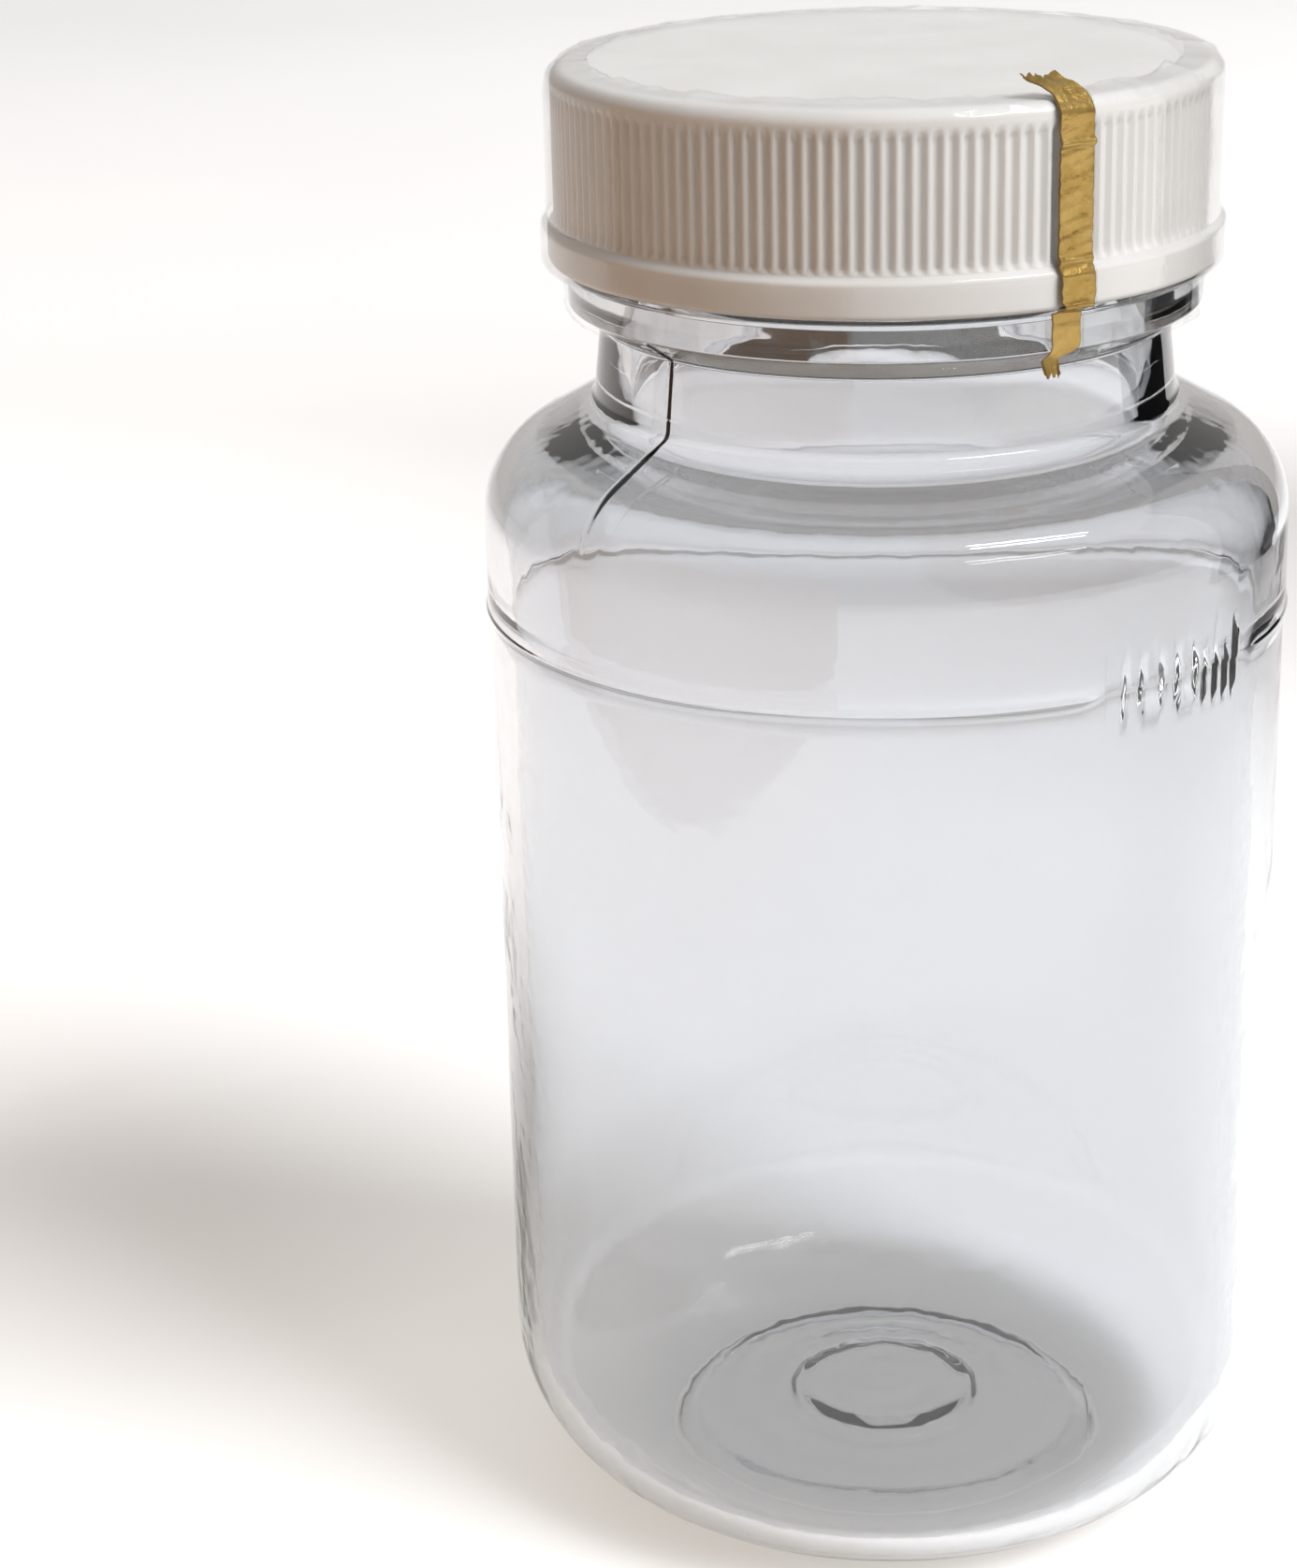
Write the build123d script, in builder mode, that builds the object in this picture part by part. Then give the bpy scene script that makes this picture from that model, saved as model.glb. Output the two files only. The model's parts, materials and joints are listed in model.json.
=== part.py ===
"""Clear 100 ml sample bottle with a white ribbed screw cap, a foam liner and a tear-off seal band.

Millimetres, +Z up. The origin is the centre of the base, on the table. The fill mark faces -Y.
"""

from build123d import *

import math
import os

# ---------------------------------------------------------------- driving dimensions: body
fill_volume = 100_000.0  # mm3 held below the fill ring, which sets the body's height
body_diameter = 50.0
wall = 1.4
base_corner_radius = 10.3
contact_width = 0.6  # flat ring that the bottle stands on
pushup_step_width = 1.5
pushup_step_rise = 0.9
pushup_dome_rise = 0.9
pushup_disc_radius = 6.3
pushup_disc_slope_width = 0.8
pushup_disc_rise = 0.6
pushup_blend = 0.45
gate_radius = 0.9
gate_drop = 0.4
plug_line_offset = 1.4  # parting line of the mould's base plug, outside the contact ring
plug_line_radius = 0.16

# ---------------------------------------------------------------- driving dimensions: shoulder and neck
shoulder_swell = 0.1  # the body is this much fuller in radius above the fill ring
shoulder_above_fill = 9.25  # from the fill ring to where wall and shoulder slope would meet
shoulder_slope = 29.0  # degrees from level
shoulder_radius = 5.7
finish_diameter = 34.6  # thread root
finish_wall = 1.2  # from the thread's root to the bore
neck_top_proud = 0.2  # just below the flange the neck is this much fuller in radius than the finish
neck_root_proud = 0.7  # and this much where it meets the shoulder
neck_height = 4.65
neck_fillet = 0.8
neck_inner_drop = 2.0  # the bore's lower corner is this far below the neck's root
neck_inner_fillet = 2.4
slope_share = 0.95  # most of the shoulder's slope that its two rounded ends may use up
flange_proud = 2.15  # beyond the finish, in radius
flange_cone_rise = 1.3
flange_thickness = 2.15
flange_edge_radius = 0.25
flange_cone_fillet = 0.3
lip_radius = 0.35
lip_chamfer = 0.35  # round the mouth, inside
seam_width = 0.3
seam_proud = 0.1

# ---------------------------------------------------------------- driving dimensions: fill ring and mark
fill_ring_proud = 0.2
fill_ring_bead_radius = 0.4
mark_gap = 14.0  # width of the break in the ring that the mark stands in
mark_proud = 0.2
mark_height = 3.2
mark_small_height = 2.1  # of the letter m
mark_width = 2.2
mark_stroke = 0.5
mark_pitch = 2.7

# ---------------------------------------------------------------- driving dimensions: thread
thread_pitch = 4.23
thread_turns = 1.25
thread_depth = 1.2
thread_base_width = 2.0
thread_crest_width = 1.0
thread_clearance = 0.25
thread_first_height = 2.0  # middle of the ridge's start above the flange
thread_to_lip = 2.56  # middle of the ridge's end below the lip
thread_runout = 2.6
thread_root_overlap = 0.3  # the ridge is rooted this far in its wall

# ---------------------------------------------------------------- driving dimensions: cap and liner
cap_skirt_gap = 0.5  # flange to cap
cap_wall = 1.15  # behind the ribs
cap_rib_depth = 0.28
cap_rib_count = 144
cap_rib_tip_share = 0.36
cap_rib_base_share = 0.8
cap_bead_proud = 0.4  # beyond the rib tips
cap_bead_height = 2.1
cap_bead_radius = 0.4
cap_top_thickness = 1.3
cap_edge_radius = 0.9
cap_rim_height = 0.35  # smooth band between the ribs and the rounded edge
cap_inner_corner = 0.6
liner_thickness = 1.0
liner_gap = 0.03  # above and below the liner
liner_side_gap = 0.45

# ---------------------------------------------------------------- driving dimensions: seal band and tear strip
film_thickness = 0.1
film_gap = 0.05
film_lip_width = 2.3  # how far the shrunk edge reaches in over the cap's top
film_overhang = 0.3  # below the flange's outer edge
film_split_gap = 0.04  # between the two halves at the back crease
strip_angle = -103.0
strip_width = 2.4
strip_thickness = 0.14
strip_side_gap = 0.06
strip_tail = 0.9  # below the film's lower edge
strip_flag = 3.4  # along the cap's top, in from its edge
fold_radius = 0.2

# ---------------------------------------------------------------- derived sizes
body_radius = body_diameter / 2
upper_radius = body_radius + shoulder_swell
inner_radius = body_radius - wall
finish_radius = finish_diameter / 2
neck_top_radius = finish_radius + neck_top_proud
neck_root_radius = finish_radius + neck_root_proud
bore_radius = finish_radius - finish_wall
flange_radius = finish_radius + flange_proud
contact_outer = body_radius - base_corner_radius
contact_inner = contact_outer - contact_width
step_inner = contact_inner - pushup_step_width
dome_rim_z = pushup_step_rise
disc_rim_z = dome_rim_z + pushup_dome_rise
disc_z = disc_rim_z + pushup_disc_rise
disc_inner = pushup_disc_radius - pushup_disc_slope_width
slope_tangent = math.tan(math.radians(shoulder_slope))
slope_cosine = math.cos(math.radians(shoulder_slope))
finish_height = thread_first_height + thread_pitch * thread_turns + thread_to_lip

thread_crest_radius = finish_radius + thread_depth
cap_bore_radius = thread_crest_radius + thread_clearance
cap_thread_crest_radius = cap_bore_radius - thread_depth
cap_root_radius = cap_bore_radius + cap_wall
cap_rib_radius = cap_root_radius + cap_rib_depth
cap_bead_outer = cap_rib_radius + cap_bead_proud


def radial_plane(angle):
    """Upright plane through the axis: its x runs outwards at this angle and its y runs up."""
    turn = math.radians(angle)
    outward = (math.cos(turn), math.sin(turn), 0)
    sideways = (math.sin(turn), -math.cos(turn), 0)
    return Plane(origin=(0, 0, 0), x_dir=outward, z_dir=sideways)


# ---------------------------------------------------------------- cavity below the wall, and the fill height
def floor_points(lift):
    """Push-up seen in section, from the axis outwards, raised by lift."""
    return [
        (0, disc_z + lift),
        (disc_inner, disc_z + lift),
        (pushup_disc_radius, disc_rim_z + lift),
        (step_inner, dome_rim_z + lift),
        (contact_inner, lift),
    ]


def floor_volume():
    """Volume held by the rounded bottom, up to the top of its corner."""
    with BuildPart() as bowl:
        with BuildSketch(Plane.XZ):
            with BuildLine():
                FilletPolyline(
                    *floor_points(wall),
                    (inner_radius, wall),
                    (inner_radius, base_corner_radius),
                    radius=[pushup_blend] * 4 + [base_corner_radius - wall],
                )
                Polyline((inner_radius, base_corner_radius), (0, base_corner_radius), (0, disc_z + wall))
            make_face()
        revolve(axis=Axis.Z)
    return bowl.part.volume


def shoulder_radii(width, rise, lower, upper):
    """Radii of a shoulder's two rounded ends, made smaller where its slope is too short for them."""
    half_turn = (math.pi / 2 - math.atan2(rise, width)) / 2
    share = min(1, slope_share * math.hypot(width, rise) / ((lower + upper) * math.tan(half_turn)))
    return lower * share, upper * share


fill_z = base_corner_radius + (fill_volume - floor_volume()) / (math.pi * inner_radius**2)
shoulder_z = fill_z + shoulder_above_fill
shoulder_width = upper_radius - neck_root_radius
neck_root_z = shoulder_z + shoulder_width * slope_tangent
flange_cone_z = neck_root_z + neck_height
flange_edge_z = flange_cone_z + flange_cone_rise
flange_top_z = flange_edge_z + flange_thickness
lip_z = flange_top_z + finish_height
thread_start_z = flange_top_z + thread_first_height
liner_bottom_z = lip_z + liner_gap
liner_top_z = liner_bottom_z + liner_thickness
cap_inner_top_z = liner_top_z + liner_gap
cap_top_z = cap_inner_top_z + cap_top_thickness
cap_bottom_z = flange_top_z + cap_skirt_gap
cap_bead_top_z = cap_bottom_z + cap_bead_height
cap_rim_z = cap_top_z - cap_edge_radius - cap_rim_height

# the cavity's shoulder starts a wall's thickness inside the outer one, and the wall thickens to the neck
inner_shoulder_z = shoulder_z + (upper_radius - inner_radius) * slope_tangent - wall / slope_cosine
inner_neck_z = neck_root_z - neck_inner_drop

outer_lower, outer_upper = shoulder_radii(
    shoulder_width, neck_root_z - shoulder_z, shoulder_radius, neck_fillet
)
inner_lower, inner_upper = shoulder_radii(
    inner_radius - bore_radius, inner_neck_z - inner_shoulder_z, shoulder_radius - wall, neck_inner_fillet
)


def outer_profile():
    """Half section of the bottle's outside, closed along the axis."""
    with BuildSketch(Plane.XZ) as outline:
        with BuildLine():
            FilletPolyline(
                *floor_points(0),
                (body_radius, 0),
                (body_radius, fill_z),
                radius=[pushup_blend] * 4 + [base_corner_radius],
            )
            Line((body_radius, fill_z), (upper_radius, fill_z))
            FilletPolyline(
                (upper_radius, fill_z),
                (upper_radius, shoulder_z),
                (neck_root_radius, neck_root_z),
                (neck_top_radius, flange_cone_z),
                (flange_radius, flange_edge_z),
                (flange_radius, flange_top_z),
                (finish_radius, flange_top_z),
                (finish_radius, lip_z),
                (0, lip_z),
                radius=[
                    outer_lower,
                    outer_upper,
                    flange_cone_fillet,
                    flange_edge_radius,
                    flange_edge_radius,
                    flange_edge_radius,
                    lip_radius,
                ],
            )
            Line((0, lip_z), (0, disc_z))
        make_face()
    return outline.sketch


def cavity_profile():
    """Half section of the space inside, open past the lip."""
    with BuildSketch(Plane.XZ) as hollow:
        with BuildLine():
            FilletPolyline(
                *floor_points(wall),
                (inner_radius, wall),
                (inner_radius, inner_shoulder_z),
                (bore_radius, inner_neck_z),
                (bore_radius, lip_z - lip_chamfer),
                radius=[pushup_blend] * 4 + [base_corner_radius - wall, inner_lower, inner_upper],
            )
            Polyline(
                (bore_radius, lip_z - lip_chamfer),
                (bore_radius + lip_chamfer, lip_z),
                (bore_radius + lip_chamfer, lip_z + wall),
                (0, lip_z + wall),
                (0, disc_z + wall),
            )
        make_face()
    return hollow.sketch


# ---------------------------------------------------------------- thread ridge, outside or inside a round wall
def thread_ridge(root, crest):
    """One-start right-hand ridge from +X upwards, which stands from the root radius to the crest radius."""
    outward = math.copysign(1, crest - root)
    rise = thread_pitch * thread_turns
    buried = root - outward * thread_root_overlap
    flare = (thread_base_width - thread_crest_width) / 2 * thread_root_overlap / thread_depth
    past_crest = crest + outward * thread_depth
    with BuildPart() as ridge:
        with BuildLine():
            path = Helix(pitch=thread_pitch, height=rise, radius=root, center=(0, 0, thread_start_z))
        with BuildSketch(Plane(origin=path @ 0, x_dir=(1, 0, 0), z_dir=path % 0)):
            Polygon(
                (buried - root, -thread_base_width / 2 - flare),
                (crest - root, -thread_crest_width / 2),
                (crest - root, thread_crest_width / 2),
                (buried - root, thread_base_width / 2 + flare),
                align=None,
            )
        sweep(path=path, is_frenet=True)
        for angle, level, along in ((0, 0, 1), (360 * thread_turns, rise, -1)):
            foot = Vector(0, 0, thread_start_z + level - thread_pitch / 2)
            with BuildSketch(Plane(origin=foot, x_dir=radial_plane(angle).x_dir, z_dir=(0, 0, 1))):
                Polygon(
                    (root, -along * thread_crest_width),
                    (root, 0),
                    (past_crest, along * 2 * thread_runout),
                    (past_crest, -along * thread_crest_width),
                    align=None,
                )
            extrude(amount=thread_pitch, mode=Mode.SUBTRACT)
    return ridge.part


# ---------------------------------------------------------------- fill ring and its mark
def fill_ring():
    """Half-round bead round the wall, broken where the mark stands."""
    centre = body_radius + fill_ring_proud - fill_ring_bead_radius
    with BuildPart() as ring:
        with BuildSketch(Plane.XZ):
            with Locations((centre, fill_z)):
                Circle(fill_ring_bead_radius)
        revolve(axis=Axis.Z)
        with Locations((0, -body_radius, fill_z)):
            Box(mark_gap, body_radius, 4 * fill_ring_bead_radius, mode=Mode.SUBTRACT)
    return ring.part


def fill_mark():
    """Raised plain strokes that read 100ml, wrapped on the wall."""
    half = mark_height / 2
    digit_half = mark_width / 2
    leg_offset = digit_half - mark_stroke / 2
    small_top = fill_z - half + mark_small_height
    from_below = (Align.CENTER, Align.MIN)
    with BuildPart() as mark:
        with BuildSketch(Plane.XZ.offset(inner_radius)):
            with Locations((-2 * mark_pitch + mark_stroke, fill_z)):
                Rectangle(mark_stroke, mark_height)
            with Locations((-mark_pitch, fill_z), (0, fill_z)):
                Ellipse(digit_half, half)
                Ellipse(digit_half - mark_stroke, half - mark_stroke, mode=Mode.SUBTRACT)
            with Locations((mark_pitch, fill_z - half)):
                with GridLocations(leg_offset, 0, 3, 1):
                    Rectangle(mark_stroke, mark_small_height, align=from_below)
            with Locations((mark_pitch, small_top - mark_stroke / 2)):
                Rectangle(mark_width, mark_stroke)
            with Locations((2 * mark_pitch - mark_stroke, fill_z)):
                Rectangle(mark_stroke, mark_height)
        extrude(amount=2 * wall)
        with BuildSketch(Plane.XZ):
            with Locations((inner_radius, fill_z)):
                Rectangle(
                    body_radius + mark_proud - inner_radius,
                    2 * mark_height,
                    align=(Align.MIN, Align.CENTER),
                )
        revolve(axis=Axis.Z, mode=Mode.INTERSECT)
    return mark.part


def mould_seam():
    """Thin flat slab whose rim stands proud of shoulder and neck on both sides, at +X and -X."""
    with BuildPart() as seam:
        with BuildSketch(Plane.XZ):
            add(outer_profile())
            offset(amount=seam_proud, kind=Kind.INTERSECTION)
            with Locations((0, fill_z)):
                Rectangle(
                    2 * body_diameter,
                    flange_edge_z - fill_z,
                    align=(Align.CENTER, Align.MIN),
                    mode=Mode.INTERSECT,
                )
            mirror(about=Plane.YZ)
        extrude(amount=seam_width / 2, both=True)
    return seam.part


# ---------------------------------------------------------------- bottle
def make_bottle():
    plug_line_r = contact_outer + plug_line_offset
    corner_drop = math.sqrt(base_corner_radius**2 - plug_line_offset**2)
    with BuildPart() as bottle:
        with BuildSketch(Plane.XZ):
            add(outer_profile())
        revolve(axis=Axis.Z)
        add(mould_seam())
        add(fill_ring())
        add(fill_mark())
        add(thread_ridge(finish_radius, thread_crest_radius))
        with BuildSketch(Plane.XZ):
            add(cavity_profile())
        revolve(axis=Axis.Z, mode=Mode.SUBTRACT)
        with BuildSketch(Plane.XZ):
            with Locations((plug_line_r, base_corner_radius - corner_drop)):
                Circle(plug_line_radius)
        revolve(axis=Axis.Z, mode=Mode.SUBTRACT)
        with BuildSketch(Plane.XY.offset(disc_z + wall / 2)):
            Circle(gate_radius)
        extrude(amount=-(wall / 2 + gate_drop))
    bottle.part.label = "bottle"
    return bottle.part


# ---------------------------------------------------------------- cap
def cap_ribs():
    """Fine upright ribs round the wall, between the bead and the rim."""
    pitch = 2 * math.pi * cap_root_radius / cap_rib_count
    base_half = cap_rib_base_share * pitch / 2
    tip_half = cap_rib_tip_share * pitch / 2
    with BuildPart() as ribs:
        with BuildSketch(Plane.XY.offset(cap_bead_top_z - cap_bead_radius / 2)):
            with PolarLocations(0, cap_rib_count):
                Polygon(
                    (cap_root_radius - cap_rib_depth, -base_half),
                    (cap_root_radius, -base_half),
                    (cap_rib_radius, -tip_half),
                    (cap_rib_radius, tip_half),
                    (cap_root_radius, base_half),
                    (cap_root_radius - cap_rib_depth, base_half),
                    align=None,
                )
        extrude(amount=cap_rim_z - cap_bead_top_z + cap_bead_radius / 2)
    return ribs.part


def make_cap():
    with BuildPart() as cap:
        with BuildSketch(Plane.XZ):
            with BuildLine():
                FilletPolyline(
                    (cap_bore_radius, cap_bottom_z),
                    (cap_bead_outer, cap_bottom_z),
                    (cap_bead_outer, cap_bead_top_z),
                    (cap_root_radius, cap_bead_top_z + cap_bead_proud + cap_rib_depth),
                    (cap_root_radius, cap_rim_z),
                    (cap_rib_radius, cap_rim_z),
                    (cap_rib_radius, cap_top_z),
                    (0, cap_top_z),
                    radius=[cap_bead_radius, cap_bead_radius, 0, 0, 0, cap_edge_radius],
                )
                Line((0, cap_top_z), (0, cap_inner_top_z))
                FilletPolyline(
                    (0, cap_inner_top_z),
                    (cap_bore_radius, cap_inner_top_z),
                    (cap_bore_radius, cap_bottom_z),
                    radius=cap_inner_corner,
                )
            make_face()
        revolve(axis=Axis.Z)
        add(cap_ribs())
        add(thread_ridge(cap_bore_radius, cap_thread_crest_radius), rotation=(0, 0, 180))
    cap.part.label = "cap_shell"
    return cap.part


def make_liner():
    with BuildPart() as liner:
        with BuildSketch(Plane.XY.offset(liner_bottom_z)):
            Circle(cap_bore_radius - liner_side_gap - cap_inner_corner / 2)
        extrude(amount=liner_thickness)
    liner.part.label = "cap_liner"
    return liner.part


# ---------------------------------------------------------------- seal band and tear strip
def wrap_points(stand_off, flag, tail):
    """Section of a film that follows cap and flange at this distance, from the cap's top down to its tail."""
    return [
        (cap_rib_radius - flag, cap_top_z + stand_off),
        (cap_rib_radius + stand_off, cap_top_z + stand_off),
        (cap_rib_radius + stand_off, cap_bead_top_z + cap_bead_proud),
        (cap_bead_outer + stand_off, cap_bead_top_z),
        (cap_bead_outer + stand_off, cap_bottom_z - stand_off),
        (flange_radius + stand_off, cap_bottom_z - cap_skirt_gap),
        (flange_radius + stand_off, flange_edge_z - tail),
    ]


wrap_radii = [cap_edge_radius, fold_radius, cap_bead_radius, cap_bead_radius, fold_radius]


def make_band(label, start_angle):
    """Half of the film sleeve, from the back crease to the tear strip."""
    middle = film_gap + film_thickness / 2
    slot_width = strip_width + 2 * strip_side_gap
    with BuildPart() as band:
        with BuildSketch(radial_plane(start_angle)):
            with BuildLine():
                FilletPolyline(*wrap_points(middle, film_lip_width, film_overhang), radius=wrap_radii)
            trace(line_width=film_thickness)
        revolve(axis=Axis.Z, revolution_arc=180)
        with BuildSketch(radial_plane(strip_angle)):
            Rectangle(4 * body_diameter, 4 * cap_top_z)
        extrude(amount=film_split_gap / 2, both=True, mode=Mode.SUBTRACT)
        with BuildSketch(radial_plane(strip_angle)):
            Rectangle(2 * body_diameter, 4 * cap_top_z, align=(Align.MIN, Align.CENTER))
        extrude(amount=slot_width / 2, both=True, mode=Mode.SUBTRACT)
    band.part.label = label
    return band.part


def make_strip():
    """Tear strip that lies in the slot between the two halves of the band."""
    middle = film_gap + film_thickness / 2
    with BuildPart() as strip:
        with BuildSketch(radial_plane(strip_angle)):
            with BuildLine():
                FilletPolyline(
                    *wrap_points(middle, strip_flag, film_overhang + strip_tail), radius=wrap_radii
                )
            trace(line_width=strip_thickness)
        extrude(amount=strip_width / 2, both=True)
    strip.part.label = "tear_strip"
    return strip.part


os.makedirs("parts", exist_ok=True)
pieces = [
    make_bottle(),
    make_cap(),
    make_liner(),
    make_band("seal_band_left", strip_angle + 180),
    make_band("seal_band_right", strip_angle),
    make_strip(),
]
for piece in pieces:
    export_step(piece, f"parts/{piece.label}.step")

print(f"fill ring at {fill_z:.2f}, flange top {flange_top_z:.2f}, lip {lip_z:.2f}, cap top {cap_top_z:.2f}")
print(f"cap rib radius {cap_rib_radius:.2f}, bead {cap_bead_outer:.2f}, bore {cap_bore_radius:.2f}")
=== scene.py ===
"""Looks of the clear sample bottle: blown wall, ribbed cap, shrunk film, torn gold tape, floor and light."""

import json
import math

import bpy
import numpy as np
from mathutils import Matrix, Vector


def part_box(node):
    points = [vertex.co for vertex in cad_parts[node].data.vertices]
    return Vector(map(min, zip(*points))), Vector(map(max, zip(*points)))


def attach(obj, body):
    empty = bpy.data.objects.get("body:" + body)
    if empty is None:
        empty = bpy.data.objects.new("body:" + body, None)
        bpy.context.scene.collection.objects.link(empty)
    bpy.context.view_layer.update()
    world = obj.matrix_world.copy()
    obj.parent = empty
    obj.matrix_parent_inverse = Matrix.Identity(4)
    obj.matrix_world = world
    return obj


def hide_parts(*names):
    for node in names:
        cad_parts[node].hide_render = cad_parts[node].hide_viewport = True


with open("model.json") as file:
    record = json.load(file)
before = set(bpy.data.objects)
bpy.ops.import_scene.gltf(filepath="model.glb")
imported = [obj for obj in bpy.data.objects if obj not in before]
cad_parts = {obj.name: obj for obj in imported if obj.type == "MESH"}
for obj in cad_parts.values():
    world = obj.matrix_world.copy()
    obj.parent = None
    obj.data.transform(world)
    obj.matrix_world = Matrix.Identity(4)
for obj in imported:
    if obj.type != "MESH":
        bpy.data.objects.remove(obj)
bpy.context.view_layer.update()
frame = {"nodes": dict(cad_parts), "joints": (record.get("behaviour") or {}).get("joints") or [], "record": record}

MM = 0.001

# ---------------------------------------------------------------- sizes taken from the frame
cap_low, cap_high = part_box("cap_shell")
lip_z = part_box("bottle")[1].z
cap_bottom_z = cap_low.z
cap_top_z = cap_high.z
bead_radius = cap_high.x
record_mounts = {mount["name"]: mount for mount in frame["record"]["mounts"]}
body_radius = record_mounts["body_wall"]["dims"]["r_mm"] * MM
strip_joint = next(joint for joint in frame["joints"] if joint["name"] == "strip_peel")
strip_angle = math.atan2(strip_joint["pos_m"][1], strip_joint["pos_m"][0])
mark_angle = math.radians(-90)  # the middle of the fill mark faces -Y

# ---------------------------------------------------------------- sizes of the bottle, as it is moulded
wall = 1.4 * MM
base_corner = 10.3 * MM
push_up = 2.4 * MM
gate_radius = 5.5 * MM
base_step_radius = 12.6 * MM
foot_ring_radius = 14.1 * MM
pole_radius = 0.3 * MM  # the turned outlines end here, and a fan of faces closes them
finish_height = 9.85 * MM
finish_radius = 17.3 * MM
neck_top_radius = finish_radius + 0.2 * MM
neck_root_radius = finish_radius + 0.7 * MM
bore_radius = finish_radius - 1.2 * MM
flange_radius = finish_radius + 2.15 * MM
upper_radius = body_radius + 0.1 * MM
flange_top_z = lip_z - finish_height
flange_edge_z = flange_top_z - 2.15 * MM
flange_cone_z = flange_edge_z - 1.3 * MM
neck_root_z = flange_cone_z - 4.65 * MM
shoulder_slope = math.radians(29)
shoulder_corner = 5.7 * MM
shoulder_z = neck_root_z - (upper_radius - neck_root_radius) * math.tan(shoulder_slope)
fill_z = shoulder_z - 9.25 * MM
fill_ring_proud = 0.22 * MM
mark_proud = 0.25 * MM
mark_stroke = 0.17 * MM  # half the width of a stroke
seam_proud = 0.12 * MM
inner_radius = body_radius - wall
inner_shoulder_z = (
    shoulder_z + (upper_radius - inner_radius) * math.tan(shoulder_slope) - wall / math.cos(shoulder_slope)
)
inner_neck_z = neck_root_z - 2 * MM
thread_pitch = 4.23 * MM
thread_depth = 1.2 * MM
thread_base_width = 2.0 * MM
thread_crest_width = 1.0 * MM
thread_turns = 1.25
thread_run_out = 0.045  # of a turn, at each end
thread_start_z = flange_top_z + 2.0 * MM

# ---------------------------------------------------------------- sizes of the cap and the film
cap_bore_radius = finish_radius + thread_depth + 0.25 * MM
rib_root_radius = cap_bore_radius + 1.15 * MM
rib_depth = 0.28 * MM
rib_radius = rib_root_radius + rib_depth
rib_count = 144
cap_edge = 0.9 * MM
cap_top_thickness = 1.3 * MM
rib_fade = 0.35 * MM
bead_top_z = cap_bottom_z + 2.1 * MM
bead_slope_z = bead_top_z + bead_radius - rib_radius
film_gap = 0.05 * MM
film_thickness = 0.08 * MM
tape_half_width = 1.15 * MM
tape_thickness = 0.07 * MM


# ================================================================ shapes
def rounded_path(corners, step):
    """Points along straight runs with an arc at each corner. corners holds (r, z, radius)."""
    points = [np.array(corners[0][:2])]
    for before, corner, after in zip(corners, corners[1:], corners[2:]):
        place = np.array(corner[:2])
        back = np.array(before[:2]) - place
        onward = np.array(after[:2]) - place
        back /= np.linalg.norm(back)
        onward /= np.linalg.norm(onward)
        turn = math.pi - math.acos(float(np.clip(back @ onward, -1, 1)))
        radius = corner[2]
        if radius == 0:
            points.append(place)
            continue
        tangent = radius * math.tan(turn / 2)
        middle = place + (back + onward) / np.linalg.norm(back + onward) * radius / math.cos(turn / 2)
        first = place + back * tangent - middle
        last = place + onward * tangent - middle
        count = max(3, math.ceil(turn / math.radians(7)))
        for share in np.linspace(0, 1, count + 1):
            arm = first * math.sin((1 - share) * turn) + last * math.sin(share * turn)
            points.append(middle + arm / math.sin(turn))
    points.append(np.array(corners[-1][:2]))
    path = [points[0]]
    for point in points[1:]:
        run = np.linalg.norm(point - path[-1])
        if run < 1e-7:
            continue
        count = max(1, math.ceil(run / step((point + path[-1]) / 2)))
        start = path[-1]
        path.extend(start + (point - start) * k / count for k in range(1, count + 1))
    return np.array(path)


def path_normals(path):
    """Unit normals to the right of the way the path runs, which is out of the material."""
    along = np.gradient(path, axis=0)
    along /= np.linalg.norm(along, axis=1)[:, None]
    return np.stack([along[:, 1], -along[:, 0]], axis=1)


def grid_faces(rows, columns, closed_columns):
    """Quads of a grid of vertices, row after row."""
    last_column = columns if closed_columns else columns - 1
    i, j = np.meshgrid(np.arange(rows - 1), np.arange(last_column), indexing="ij")
    i, j = i.ravel(), j.ravel()
    up, on = i + 1, (j + 1) % columns
    return np.stack([i * columns + j, i * columns + on, up * columns + on, up * columns + j], axis=1)


def mesh_piece(name, points, faces, material):
    """A smooth-shaded mesh object."""
    mesh = bpy.data.meshes.new(name)
    mesh.from_pydata([tuple(p) for p in points], [], [tuple(int(v) for v in f) for f in faces])
    mesh.update()
    mesh.shade_smooth()
    mesh.materials.append(material)
    piece = bpy.data.objects.new(name, mesh)
    bpy.context.scene.collection.objects.link(piece)
    return piece


def turned_piece(name, path, angles, lift, material):
    """A solid turned about the axis. Its skin stands off the outline by lift(r, z, theta, normals)."""
    normals = path_normals(path)
    height = lift(path[:, 0][:, None], path[:, 1][:, None], angles[None, :], normals)
    radius = path[:, 0][:, None] + normals[:, 0][:, None] * height
    level = path[:, 1][:, None] + normals[:, 1][:, None] * height
    rows, columns = radius.shape
    x = radius * np.cos(angles)
    y = radius * np.sin(angles)
    points = np.stack([x, y, np.broadcast_to(level, x.shape)], axis=2).reshape(-1, 3)
    faces = [tuple(f) for f in grid_faces(rows, columns, True)]
    bottom, top = len(points), len(points) + 1
    points = np.vstack([points, [0, 0, level[0].mean()], [0, 0, level[-1].mean()]])
    last = (rows - 1) * columns
    for j in range(columns):
        following = (j + 1) % columns
        faces.append((bottom, following, j))
        faces.append((top, last + j, last + following))
    return mesh_piece(name, points, faces, material)


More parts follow.
